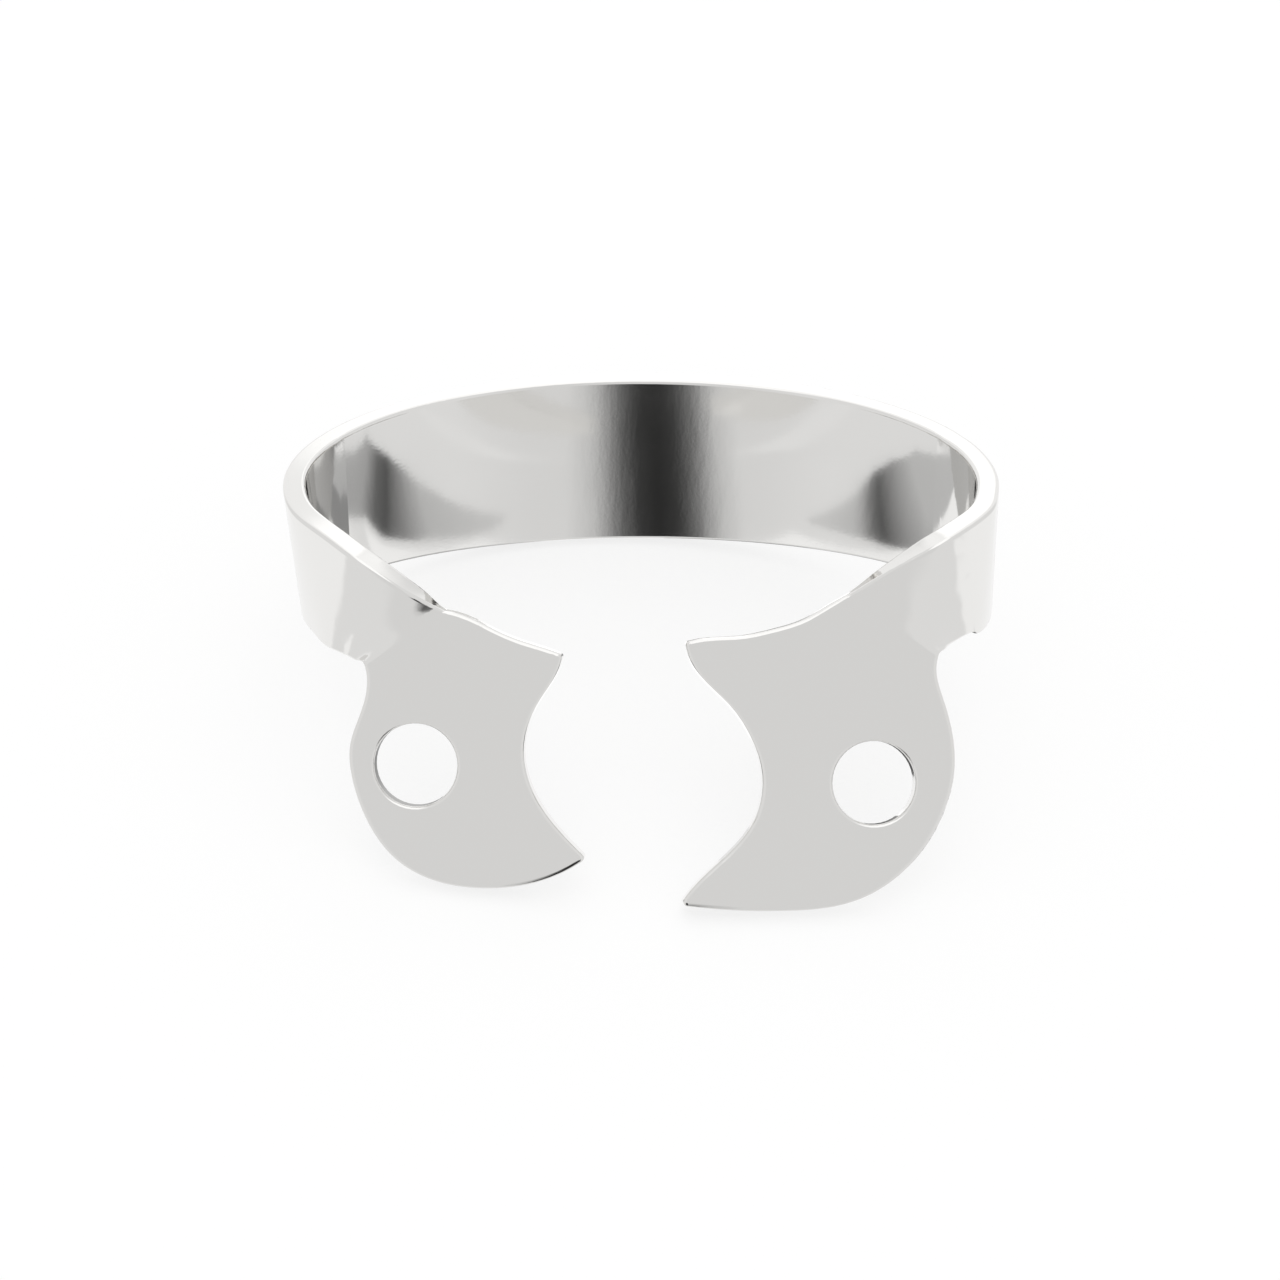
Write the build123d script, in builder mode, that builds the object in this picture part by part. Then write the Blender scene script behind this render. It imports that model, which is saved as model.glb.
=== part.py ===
"""Rubber dam clamp: one strip of spring steel, bent to a bow and ending in two holed jaws.

It is first built about the bow: X runs across the clamp, Y away from the jaws and Z along the
strip's width, with the bow's upper edge at Z = 0 and its widest place at Y = 0.  It is then
turned to stand on the bow's lower back edge and the two jaws.  All lengths are millimetres.
"""
from build123d import *
import math
import os

# Sheet
sheet_thickness = 0.8
edge_round = 0.13

# Bow, measured on its outer face
bow_half_width = 12.55
bow_depth = 8.4
bow_back_height = 6.84
bow_leg_height = 4.86
bow_plain = 25.0                # degrees before its widest place at which the plain bow ends
bow_wrap = 17.0                 # degrees that the ellipse runs on past its widest place
half_turn = 180.0

# Forceps holes and beaks
bore_diameter = 2.86
beak_round = 0.16

# Left side
left_wall_lean = 4.5            # degrees that the leg's lower edge leans in below its upper edge
left_lean = 26.0                # degrees that the jaw's face looks up along the bow's axis
left_toe = 5.0                  # degrees that the jaw's face looks outward
left_bore_out = 7.70
left_bore_forward = 7.82
left_bore_drop = 6.92
left_reach = 5.68
left_span = 6.80

# Right side
right_wall_lean = 0.0
right_lean = 31.0
right_toe = 5.0
right_bore_out = 7.98
right_bore_forward = 7.87
right_bore_drop = 7.60
right_reach = 6.54
right_span = 8.97

# Places of the leg's cross-sections on the ellipse, as shares of the wrap, each with the share
# of the wall's lean there; then as shares of each gap between two stations and of the last gap,
# which ends flat in the jaw.
wrap_shares = [(-1.2, 0.15), (-0.8, 0.45), (-0.4, 0.8), (0.0, 1.0), (0.5, 1.0), (1.0, 1.0)]
gap_shares = [0.5, 1.0]
last_gap_shares = [0.3, 0.6, 0.85]

# How the resting plane is found, and what counts as a side of a sheet, across its faces
mesh_share = 0.0125             # how fine the surface is read, as a share of the sheet
support_rounds = 6
upright_limit = 0.5

# A leg station is (out, forward, drop) of the strip's upper corner, then of its lower corner,
# as shares of the bow's half width, depth and back height.
left_leg_shares = [
    ((0.857, 0.495, 0.006), (0.877, 0.445, 0.681)),
    ((0.754, 0.646, 0.051), (0.816, 0.532, 0.673)),
    ((0.637, 0.702, 0.172), (0.788, 0.612, 0.640)),
]
right_leg_shares = [
    ((0.835, 0.493, 0.024), (0.919, 0.361, 0.669)),
    ((0.761, 0.533, 0.083), (0.866, 0.463, 0.650)),
    ((0.669, 0.549, 0.171), (0.838, 0.572, 0.604)),
]

# Jaw outline points are (toward the beaks, up) from the hole, as shares of reach and span.
# The root is where the neck meets the flat jaw, upper end first; the paths are the directions
# in which the neck's two edges run into it.
left_root_shares = [(0.185, 0.779), (-0.306, 0.496)]
left_root_paths = [(1.14, -0.49), (0.20, -0.75)]
left_top_shares = [(0.380, 0.725), (0.520, 0.667), (0.642, 0.628), (0.786, 0.591)]
left_upper_beak_share = (0.889, 0.560)
left_bite_shares = [(0.832, 0.435), (0.733, 0.307), (0.653, 0.054), (0.780, -0.234), (0.900, -0.355)]
left_lower_beak_share = (1.030, -0.465)
left_lobe_shares = [
    (0.722, -0.589), (0.394, -0.621), (0.097, -0.582), (-0.133, -0.472), (-0.290, -0.297),
    (-0.386, -0.076), (-0.399, 0.093), (-0.311, 0.317), (-0.293, 0.410),
]
right_root_shares = [(0.154, 0.713), (-0.339, 0.474)]
right_root_paths = [(1.20, -0.59), (0.12, -0.78)]
right_top_shares = [(0.256, 0.671), (0.373, 0.623), (0.534, 0.586), (0.695, 0.562), (0.864, 0.555)]
right_upper_beak_share = (0.992, 0.537)
right_bite_shares = [(0.890, 0.390), (0.748, 0.287), (0.661, 0.194), (0.585, 0.018), (0.628, -0.140),
                     (0.776, -0.275), (0.898, -0.356)]
right_lower_beak_share = (1.018, -0.465)
right_lobe_shares = [
    (0.716, -0.485), (0.443, -0.487), (0.224, -0.474), (0.003, -0.421), (-0.138, -0.351),
    (-0.261, -0.256), (-0.370, -0.114), (-0.424, 0.028), (-0.428, 0.109), (-0.369, 0.317),
    (-0.333, 0.414),
]


def jaw_plane(out, forward, drop, lean, toe):
    """The plane of a jaw's outer face on the left: X toward the beaks, Z out of the face."""
    facing = Vector(0, -1, 0).rotate(Axis.X, -lean).rotate(Axis.Z, -toe)
    across = Vector(1, 0, 0) - facing * facing.X
    return Plane(origin=(-out, -forward, -drop), x_dir=across, z_dir=facing)


def strip_height(y):
    """The width of the bow's strip at a depth: its lower edge is one straight, slanting cut."""
    wrap_end = -bow_depth * math.sin(math.radians(bow_wrap))
    slope = (bow_back_height - bow_leg_height) / (bow_depth - wrap_end)
    return bow_leg_height + slope * (y - wrap_end)


def bow_path(turn):
    """The bow's outer upper corner on the left past its widest place, and its direction there."""
    angle = math.radians(turn)
    corner = Vector(-bow_half_width * math.cos(angle), -bow_depth * math.sin(angle), 0)
    path = Vector(bow_half_width * math.sin(angle), -bow_depth * math.cos(angle), 0)
    return corner, path.normalized()


def wall_corners(turn, lean):
    """The strip's outer upper and lower corners there; the lower one leans in by the lean."""
    upper, path = bow_path(turn)
    height = strip_height(upper.Y)
    inward = path.cross(Vector(0, 0, -1))
    return upper, upper - Vector(0, 0, height) + inward * (height * math.tan(math.radians(lean)))


def strip_section(upper, lower, along):
    """The plane and the four corners of the strip's cross-section, from its outer corners.

    X runs down the strip and Y through the sheet."""
    down = lower - upper
    plane = Plane(origin=upper, x_dir=down, z_dir=along - down * (along.dot(down) / down.dot(down)))
    width = down.length
    corners = [(0, 0), (width, 0), (width, sheet_thickness), (0, sheet_thickness)]
    return plane, corners


def leg_places(shares):
    """The upper and lower corners of the leg stations on the left."""
    scale = (bow_half_width, bow_depth, bow_back_height)
    return [
        tuple(Vector(*(-share * size for share, size in zip(corner, scale))) for corner in pair)
        for pair in shares
    ]


def middle(pair):
    """The point midway between two."""
    return (pair[0] + pair[1]) / 2


def leg_sections(stations, first_slopes, last_slopes):
    """Cross-sections along the two smooth curves through the stations' corners."""
    gaps = [(middle(b) - middle(a)).length for a, b in zip(stations, stations[1:])]
    slopes = [first_slopes]
    for index in range(1, len(stations) - 1):
        span = gaps[index - 1] + gaps[index]
        before, after = stations[index - 1], stations[index + 1]
        slopes.append(tuple((b - a) / span for a, b in zip(before, after)))
    slopes.append(last_slopes)

    sections = []
    for index, gap in enumerate(gaps):
        for s in last_gap_shares if index == len(gaps) - 1 else gap_shares:
            ends = zip(stations[index], slopes[index], stations[index + 1], slopes[index + 1])
            corners, paths = [], []
            for start, leave, end, arrive in ends:
                rise = end - start
                corners.append(start + rise * (s * s * (3 - 2 * s))
                               + leave * (gap * s * (1 - s) * (1 - s))
                               - arrive * (gap * s * s * (1 - s)))
                paths.append(rise * (6 * s * (1 - s)) + leave * (gap * (1 - s) * (1 - 3 * s))
                             + arrive * (gap * s * (3 * s - 2)))
            sections.append(strip_section(corners[0], corners[1], middle(paths)))
    return sections


def facing_root(part, plane, root_middle):
    """The side of the jaw's sheet where the leg joins."""
    faces = part.faces().sort_by_distance(root_middle)
    return [face for face in faces if abs(face.normal_at().dot(plane.z_dir)) < upright_limit][0]


def make_jaw(plane, reach, span, root, top, upper_beak, bite, lower_beak, lobe):
    """A flat holed jaw on the left, rounded all round but for the side where the leg joins."""
    def place(share):
        return (share[0] * reach, share[1] * span)

    def in_space(share):
        return plane.from_local_coords(Vector(*place(share), 0))

    with BuildPart() as jaw:
        with BuildSketch(plane):
            with BuildLine():
                Line(place(root[1]), place(root[0]))
                Spline(*[place(share) for share in (root[0], *top, upper_beak)])
                Spline(*[place(share) for share in (upper_beak, *bite, lower_beak)])
                Spline(*[place(share) for share in (lower_beak, *lobe, root[1])])
            make_face()
            Circle(bore_diameter / 2, mode=Mode.SUBTRACT)
        extrude(amount=-sheet_thickness)
        across = jaw.edges().filter_by(GeomType.LINE)
        fillet([across.sort_by_distance(in_space(beak))[0] for beak in (upper_beak, lower_beak)],
               radius=beak_round)
        root_middle = middle([in_space(share) for share in root])
        joint = facing_root(jaw, plane, root_middle).edges()
        flats = [face for face in jaw.faces() if abs(face.normal_at().dot(plane.z_dir)) > upright_limit]
        fillet([edge for face in flats for edge in face.edges() if edge not in joint],
               radius=edge_round)
        joint_side = facing_root(jaw, plane, root_middle)
    return jaw.part, joint_side


def make_leg(bow_side, wall_lean, leg_shares, plane, reach, span, root, root_paths, joint_side):
    """The leg on the left, from the bow's plain end to the flat jaw, twisting as it goes."""
    wrap_corner, wrap_path = bow_path(bow_wrap)
    rise = bow_leg_height - strip_height(wrap_corner.Y + wrap_path.Y)
    root_corners = tuple(
        plane.from_local_coords(Vector(across * reach, up * span, 0)) for across, up in root
    )
    sections = [
        strip_section(*wall_corners(share * bow_wrap, lean_share * wall_lean),
                      bow_path(share * bow_wrap)[1])
        for share, lean_share in wrap_shares
    ]
    sections += leg_sections(
        [wall_corners(bow_wrap, wall_lean), *leg_places(leg_shares), root_corners],
        (wrap_path, wrap_path + Vector(0, 0, rise)),
        tuple(plane.x_dir * across + plane.y_dir * up for across, up in root_paths),
    )
    outlines = []
    for section, corners in sections:
        with BuildSketch(section) as outline:
            Polygon(*corners, align=None)
            fillet(outline.vertices(), radius=edge_round)
        outlines.append(outline.sketch)
    with BuildPart() as leg:
        loft([bow_side, *outlines, joint_side])
    return leg.part


def sewn(pieces):
    """One solid from pieces that meet at whole faces: each pair of shared faces is left out."""
    faces = [face for piece in pieces for face in piece.faces()]
    tolerance = mesh_share * sheet_thickness
    outside = []
    for face in faces:
        twins = [
            other for other in faces if (other.center() - face.center()).length < tolerance
            and abs(other.area - face.area) < tolerance * sheet_thickness
        ]
        if len(twins) == 1:
            outside.append(face)
    return Solid(Shell(outside))


def standing_plane(part):
    """The plane that the part rests on: under the bow's back edge and under the two jaws."""
    points, _ = part.tessellate(mesh_share * sheet_thickness)
    groups = [
        [point for point in points if point.Y > 0],
        [point for point in points if point.Y < 0 and point.X < 0],
        [point for point in points if point.Y < 0 and point.X > 0],
    ]
    up = Vector(0, 0, 1)
    for _ in range(support_rounds):
        back, left, right = [min(group, key=lambda point: point.dot(up)) for group in groups]
        up = (left - back).cross(right - back).normalized()
    across = Vector(1, 0, 0) - up * up.X
    return Plane(origin=back, x_dir=across, z_dir=up)


def upright_ends(part):
    """The bow's two flat ends, where the legs join."""
    flats = part.faces().filter_by(GeomType.PLANE)
    return flats.filter_by(lambda face: abs(face.normal_at().Z) < upright_limit)


with BuildPart() as bow:
    with BuildSketch():
        with BuildLine():
            arc = half_turn - 2 * bow_plain
            outer = EllipticalCenterArc((0, 0), bow_half_width, bow_depth, bow_plain, arc_size=arc)
            inner = EllipticalCenterArc((0, 0), bow_half_width - sheet_thickness,
                                        bow_depth - sheet_thickness, bow_plain, arc_size=arc)
            Line(outer @ 0, inner @ 0)
            Line(outer @ 1, inner @ 1)
        make_face()
    extrude(amount=-bow_back_height)
    with BuildSketch(Plane.YZ):
        with BuildLine():
            Polyline(
                (-bow_depth, -strip_height(-bow_depth)),
                (2 * bow_depth, -strip_height(2 * bow_depth)),
                (2 * bow_depth, -2 * bow_back_height),
                (-bow_depth, -2 * bow_back_height),
                close=True,
            )
        make_face()
    extrude(amount=bow_half_width, both=True, mode=Mode.SUBTRACT)
    rims = bow.edges() - bow.edges().filter_by(Axis.Z)
    fillet([edge for edge in rims if edge not in upright_ends(bow).edges()], radius=edge_round)
    bow_side = upright_ends(bow).sort_by(Axis.X)[0]

left_plane = jaw_plane(left_bore_out, left_bore_forward, left_bore_drop, left_lean, left_toe)
left_jaw, left_joint = make_jaw(
    left_plane, left_reach, left_span, left_root_shares, left_top_shares, left_upper_beak_share,
    left_bite_shares, left_lower_beak_share, left_lobe_shares,
)
left_leg = make_leg(
    bow_side, left_wall_lean, left_leg_shares, left_plane, left_reach, left_span, left_root_shares,
    left_root_paths, left_joint,
)

# The right side is drawn as a left one and mirrored.
right_plane = jaw_plane(right_bore_out, right_bore_forward, right_bore_drop, right_lean, right_toe)
right_jaw, right_joint = make_jaw(
    right_plane, right_reach, right_span, right_root_shares, right_top_shares,
    right_upper_beak_share, right_bite_shares, right_lower_beak_share, right_lobe_shares,
)
right_leg = make_leg(
    bow_side, right_wall_lean, right_leg_shares, right_plane, right_reach, right_span, right_root_shares,
    right_root_paths, right_joint,
)

body = sewn([bow.part, left_leg, left_jaw, mirror(right_leg, about=Plane.YZ),
             mirror(right_jaw, about=Plane.YZ)])
stood = standing_plane(body).location.inverse() * body
box = stood.bounding_box()
with BuildPart() as clamp:
    add(Pos(-box.center().X, -box.center().Y, -box.min.Z) * stood)
clamp.part.label = "clamp"

os.makedirs("parts", exist_ok=True)
export_step(clamp.part, "parts/clamp.step")
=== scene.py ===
"""Rubber dam clamp of polished spring steel, standing on a white floor in soft studio light."""
import math

import bpy
from mathutils import Matrix, Vector

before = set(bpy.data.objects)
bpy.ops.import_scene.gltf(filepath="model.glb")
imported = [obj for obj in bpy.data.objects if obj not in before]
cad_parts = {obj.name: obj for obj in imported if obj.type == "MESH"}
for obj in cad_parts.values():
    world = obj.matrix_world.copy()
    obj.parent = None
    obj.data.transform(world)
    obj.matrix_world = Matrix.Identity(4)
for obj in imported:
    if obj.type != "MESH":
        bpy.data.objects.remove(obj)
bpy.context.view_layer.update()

MM = 0.001
scene = bpy.context.scene

# Steel
STEEL_COLOUR = (0.860, 0.852, 0.836, 1)
STEEL_ROUGHNESS = (0.055, 0.095)

# Floor: its shade takes the shadow, and its glow lifts it to white for the camera.
FLOOR_HALF = 1.5
FLOOR_SHADE = (0.32, 0.32, 0.32, 1)
FLOOR_GLOW = 0.715

# Levels that the steel mirrors
GREY_AHEAD, GREY_BESIDE = 0.742, 0.80
WHITE, WHITE_ABOVE, WHITE_BEHIND = 0.96, 1.16, 1.22
CARD_HEIGHT = -5                # of the level cards, in millimetres

# Camera: the photograph's own place and lens, in millimetres, fitted to the bow's ellipse
CAMERA_LENS = 92.81
CAMERA_SENSOR = 36
CAMERA_PLACE = (-3.737, -83.413, 86.437)
CAMERA_RIGHT = (0.99894, 0.0, 0.04597)
CAMERA_VIEW = (0.03254, 0.70641, -0.70707)


# Node helpers

def link(tree, source, target):
    tree.links.new(source, target)


def new_material(name):
    """A material with an empty node tree and its output."""
    material = bpy.data.materials.new(name)
    material.use_nodes = True
    tree = material.node_tree
    tree.nodes.clear()
    output = tree.nodes.new("ShaderNodeOutputMaterial")
    return material, tree, output


def feed(tree, socket, value):
    """Links a socket or sets a number."""
    if isinstance(value, bpy.types.NodeSocket):
        link(tree, value, socket)
    else:
        socket.default_value = value


def calc(tree, operation, first, second=0.0):
    node = tree.nodes.new("ShaderNodeMath")
    node.operation = operation
    feed(tree, node.inputs[0], first)
    feed(tree, node.inputs[1], second)
    return node.outputs[0]


def blend(tree, share, start, end):
    """start where the share is 0, end where it is 1."""
    rise = calc(tree, "SUBTRACT", end, start)
    return calc(tree, "ADD", calc(tree, "MULTIPLY", rise, share), start)


def step(tree, value, low, high, at_low=0.0, at_high=1.0):
    """A smooth step from one level to another between two values."""
    node = tree.nodes.new("ShaderNodeMapRange")
    node.interpolation_type = "SMOOTHSTEP"
    feed(tree, node.inputs["Value"], value)
    node.inputs["From Min"].default_value = low
    node.inputs["From Max"].default_value = high
    node.inputs["To Min"].default_value = at_low
    node.inputs["To Max"].default_value = at_high
    return node.outputs["Result"]


def curve(tree, value, points):
    """A level that follows the given (value, level) points, with straight lines between them."""
    width = points[-1][0]
    node = tree.nodes.new("ShaderNodeValToRGB")
    elements = node.color_ramp.elements
    while len(elements) < len(points):
        elements.new(0.5)
    for element, (place, level) in zip(elements, points):
        element.position = place / width
        element.color = (level, level, level, 1)
    link(tree, calc(tree, "DIVIDE", value, width), node.inputs["Fac"])
    return node.outputs["Color"]


def noise(tree, place, scale, detail):
    node = tree.nodes.new("ShaderNodeTexNoise")
    node.inputs["Scale"].default_value = scale
    node.inputs["Detail"].default_value = detail
    link(tree, place, node.inputs["Vector"])
    return node.outputs["Fac"]


def relief(tree, place, scale, detail, strength, depth, under=None):
    """The normal of an uneven surface, on top of a coarser one where one is given."""
    node = tree.nodes.new("ShaderNodeBump")
    node.inputs["Strength"].default_value = strength
    node.inputs["Distance"].default_value = depth
    link(tree, noise(tree, place, scale, detail), node.inputs["Height"])
    if under is not None:
        link(tree, under, node.inputs["Normal"])
    return node.outputs["Normal"]


# Steel

def make_steel():
    """Polished stainless steel: bright, slightly warm, with faint waves, streaks and fine marks."""
    material, tree, output = new_material("polished_steel")
    shader = tree.nodes.new("ShaderNodeBsdfPrincipled")
    shader.inputs["Base Color"].default_value = STEEL_COLOUR
    shader.inputs["Metallic"].default_value = 1
    place = tree.nodes.new("ShaderNodeTexCoord").outputs["Object"]
    cloud = noise(tree, place, scale=260, detail=3)
    link(tree, step(tree, cloud, 0.3, 0.7, *STEEL_ROUGHNESS), shader.inputs["Roughness"])
    # The streaks are the same noise drawn out upward.
    upright = tree.nodes.new("ShaderNodeMapping")
    upright.inputs["Scale"].default_value = (1, 1, 0.04)
    link(tree, place, upright.inputs["Vector"])
    drawn_out = upright.outputs["Vector"]
    waves = relief(tree, place, scale=380, detail=1, strength=0.05, depth=0.05 * MM)
    streaks = relief(tree, drawn_out, scale=2600, detail=2, strength=0.05, depth=0.02 * MM,
                     under=waves)
    marks = relief(tree, place, scale=9000, detail=2, strength=0.04, depth=0.01 * MM,
                   under=streaks)
    link(tree, marks, shader.inputs["Normal"])
    link(tree, shader.outputs["BSDF"], output.inputs["Surface"])
    return material


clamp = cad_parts["clamp"]
clamp.data.materials.clear()
clamp.data.materials.append(make_steel())


# Floor and cards

def stage_flat(name, corners, material):
    """One flat piece of the stage, from its corners in metres."""
    mesh = bpy.data.meshes.new(name)
    mesh.from_pydata(corners, [], [range(len(corners))])
    piece = bpy.data.objects.new(name, mesh)
    scene.collection.objects.link(piece)
    piece.data.materials.append(material)
    return piece


def make_floor():
    """A white floor.  The steel mirrors the surroundings below the horizon in its place."""
    material, tree, output = new_material("pale_floor")
    diffuse = tree.nodes.new("ShaderNodeBsdfDiffuse")
    diffuse.inputs["Color"].default_value = FLOOR_SHADE
    glow = tree.nodes.new("ShaderNodeEmission")
    glow.inputs["Color"].default_value = (1, 1, 1, 1)
    seen = tree.nodes.new("ShaderNodeLightPath").outputs["Is Camera Ray"]
    link(tree, calc(tree, "MULTIPLY", seen, FLOOR_GLOW), glow.inputs["Strength"])
    both = tree.nodes.new("ShaderNodeAddShader")
    link(tree, diffuse.outputs["BSDF"], both.inputs[0])
    link(tree, glow.outputs["Emission"], both.inputs[1])
    link(tree, both.outputs["Shader"], output.inputs["Surface"])
    x = y = FLOOR_HALF
    floor = stage_flat("floor", [(-x, -y, 0), (x, -y, 0), (x, y, 0), (-x, y, 0)], material)
    floor.visible_glossy = False


make_floor()


def make_painted_reflection_card(name, corners, levels, line=(0, 0, 0)):
    """A flat glowing card near the object that only the steel mirrors, with its corners in
    millimetres: it puts painted reflections and painted shade into the steel.

    Its grey follows (offset, level) points, where the offset from the line is |a X + b Y + c|."""
    material, tree, output = new_material(name)
    glow = tree.nodes.new("ShaderNodeEmission")
    split = tree.nodes.new("ShaderNodeSeparateXYZ")
    link(tree, tree.nodes.new("ShaderNodeTexCoord").outputs["Object"], split.inputs["Vector"])
    across = calc(tree, "MULTIPLY", split.outputs["X"], line[0] / MM)
    along = calc(tree, "MULTIPLY", split.outputs["Y"], line[1] / MM)
    signed = calc(tree, "ADD", calc(tree, "ADD", across, along), line[2])
    link(tree, curve(tree, calc(tree, "ABSOLUTE", signed), levels), glow.inputs["Color"])
    glow.inputs["Strength"].default_value = 1
    link(tree, glow.outputs["Emission"], output.inputs["Surface"])
    card = stage_flat(name, [tuple(c * MM for c in corner) for corner in corners], material)
    card.visible_camera = False
    card.visible_diffuse = False
    card.visible_shadow = False


def level_corners(points):
    """The corners of a card that lies level below the clamp."""
    return [(x, y, CARD_HEIGHT) for x, y in points]


def even(level):
    """The levels of a card that is one grey all over."""
    return [(0, level), (1, level)]


# Two grey cards with a dark stripe put painted reflections and painted shade into the two ends of
# the bow's inner face, darkening them.
make_painted_reflection_card("right_painted_reflection_card",
          level_corners([(17.2, 1), (16.8, -4), (15.4, -7), (12.8, -10), (6.8, -13.4),
                         (6.2, -10.5), (7.4, -5), (7.4, 0), (8.4, 2.5), (6, 7), (6, 12.2),
                         (8.6, 12.2), (14, 4.5)]),
          [(0, 0.62), (7, 0.51), (10.2, 0.25), (12.6, 0.09), (14.6, 0.14), (17, 0.38), (26, 0.52)],
          line=(0.35, 1, 10.35))
make_painted_reflection_card("left_painted_reflection_card",
          level_corners([(-12.4, -3), (-11.6, -5.6), (-8, -7.9), (-5.8, -9.6), (-5.2, -3),
                         (-3, 5), (-3, 11), (-6, 11.6), (-10.6, 4.6), (-12, 2)]),
          [(0, 0.62), (3, 0.53), (5, 0.16), (6, 0.10), (9, 0.33), (12, 0.52), (18, 0.54)],
          line=(-0.6, 1, 4.2))
# A darker one puts a painted dark reflection where the bow bends most on the left.
make_painted_reflection_card("bend_painted_reflection_card",
          level_corners([(1.4, 12.2), (1.4, 9), (3, 7.2), (5, 5.8), (6, 7), (6, 12.2)]),
          even(0.27))
# A light one puts a painted highlight along the lower edge of the bow's inner face.
make_painted_reflection_card("painted_highlight_card",
          level_corners([(-4.4, -9), (5.8, -9), (6.6, 0), (7.6, 3), (4.4, 1.5), (-4, 1.5)]),
          even(0.98))
# Two light ones that slope under the jaws put a painted light reflection into the jaws' undersides
# and keep the grey cards out of them.
for name, left, right in (("right_jaw_painted_reflection_card", 2.6, 11), ("left_jaw_painted_reflection_card", -11, -3)):
    make_painted_reflection_card(name,
              [(left, -12.5, -1.8), (right, -12.5, -1.8), (right, -5.5, -0.1), (left, -5.5, -0.1)],
              even(0.83))
# An upright dark one in front of the jaws paints the dark band in the middle of the bow's inner
# face as a painted reflection.
# Its sides fade into the grey around it.
make_painted_reflection_card("front_painted_reflection_card",
          [(-5.65, -18, -8), (4.75, -18, -8), (4.75, -18, 3.7), (-5.65, -18, 3.7)],
          [(0, 0.025), (1.1, 0.04), (2.15, 0.16), (3.6, 0.58), (5.2, GREY_AHEAD)],
          line=(1, 0, 0.45))


# World

def make_world():
    """A white studio with a large grey field in front.

    Angles are in degrees: the turn is 0 toward -Y and grows toward +X, the rise is 0 level."""
    world = bpy.data.worlds.new("studio")
    scene.world = world
    world.use_nodes = True
    tree = world.node_tree
    tree.nodes.clear()
    output = tree.nodes.new("ShaderNodeOutputWorld")
    background = tree.nodes.new("ShaderNodeBackground")
    split = tree.nodes.new("ShaderNodeSeparateXYZ")
    link(tree, tree.nodes.new("ShaderNodeTexCoord").outputs["Generated"], split.inputs["Vector"])
    degrees = math.degrees(1)
    forward = calc(tree, "MULTIPLY", split.outputs["Y"], -1)
    turn = calc(tree, "MULTIPLY", calc(tree, "ARCTAN2", split.outputs["X"], forward), degrees)
    rise = calc(tree, "MULTIPLY", calc(tree, "ARCSINE", split.outputs["Z"]), degrees)

    def beside(centre):
        """The turn away from a centre, to either side."""
        return calc(tree, "ABSOLUTE", calc(tree, "SUBTRACT", turn, centre))

    # In front the field reaches all the way down.  Round the sides it has a slanting lower edge.
    front = step(tree, beside(-4), 79, 84, 1, 0)
    edge = calc(tree, "SUBTRACT", rise, calc(tree, "DIVIDE", turn, 30))
    above_edge = step(tree, edge, -31.4, -29.9)
    sides = calc(tree, "MULTIPLY", step(tree, beside(0), 128, 146, 1, 0), above_edge)
    below_top = step(tree, rise, 58, 72, 1, 0)
    field = calc(tree, "MULTIPLY", calc(tree, "MAXIMUM", front, sides), below_top)
    grey = step(tree, beside(0), 20, 45, GREY_AHEAD, GREY_BESIDE)
    # The white grows brighter high up and at the back.
    above = step(tree, rise, 20, 70, WHITE, WHITE_ABOVE)
    behind = step(tree, beside(0), 168, 176, WHITE, WHITE_BEHIND)
    mirrored = blend(tree, field, calc(tree, "MAXIMUM", above, behind), grey)
    # The camera sees plain white.
    seen = tree.nodes.new("ShaderNodeLightPath").outputs["Is Camera Ray"]
    link(tree, blend(tree, seen, mirrored, 1), background.inputs["Color"])
    background.inputs["Strength"].default_value = 1
    link(tree, background.outputs["Background"], output.inputs["Surface"])


make_world()


# Camera

def make_camera():
    camera = bpy.data.cameras.new("camera")
    camera.lens = CAMERA_LENS
    camera.sensor_width = CAMERA_SENSOR
    camera.clip_start = 0.005
    camera.clip_end = 10
    eye = bpy.data.objects.new("camera", camera)
    scene.collection.objects.link(eye)
    right = Vector(CAMERA_RIGHT).normalized()
    view = Vector(CAMERA_VIEW).normalized()
    up = right.cross(view)
    rotation = Matrix((right, up, -view)).transposed()
    eye.matrix_world = Matrix.Translation(Vector(CAMERA_PLACE) * MM) @ rotation.to_4x4()
    scene.camera = eye


make_camera()
scene.view_settings.view_transform = "Standard"
